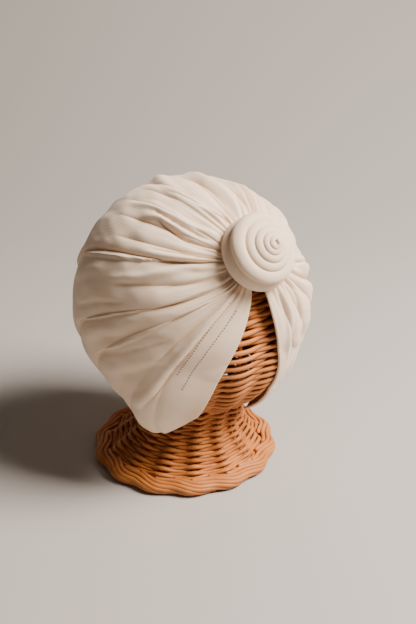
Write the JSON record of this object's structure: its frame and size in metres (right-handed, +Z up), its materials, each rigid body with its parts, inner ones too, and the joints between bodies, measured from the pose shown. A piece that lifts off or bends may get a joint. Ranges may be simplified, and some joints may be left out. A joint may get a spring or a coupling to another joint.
{
  "type": "turban cap on a wicker stand",
  "caption": "Ready-sewn baby turban of gathered cream jersey with a rolled coil at the front, open below the coil, on a round wicker stand.",
  "frame": {"origin": "on the floor, under the middle of the whole, about 2.6 mm in front of the wicker ball's upright axis", "axes": "+Z up, -Y out of the turban's front, where the coil and the open V are; +X towards the wearer's left"},
  "size_m": [0.145, 0.153, 0.1833],
  "materials": {
    "cream_jersey": "soft matte cotton jersey with fine upright knit ribs and a little stretch sheen",
    "cream_jersey_roll": "the same jersey, rolled and padded, smooth and matte",
    "peeled_willow": "tan woven willow rods with a dull satin skin"
  },
  "bodies": {
    "root": {"crown": "cream_jersey", "coil_roll": "cream_jersey_roll", "wicker_ball": "peeled_willow", "wicker_foot": "peeled_willow", "foot_border": "peeled_willow"}
  },
  "joints": []
}
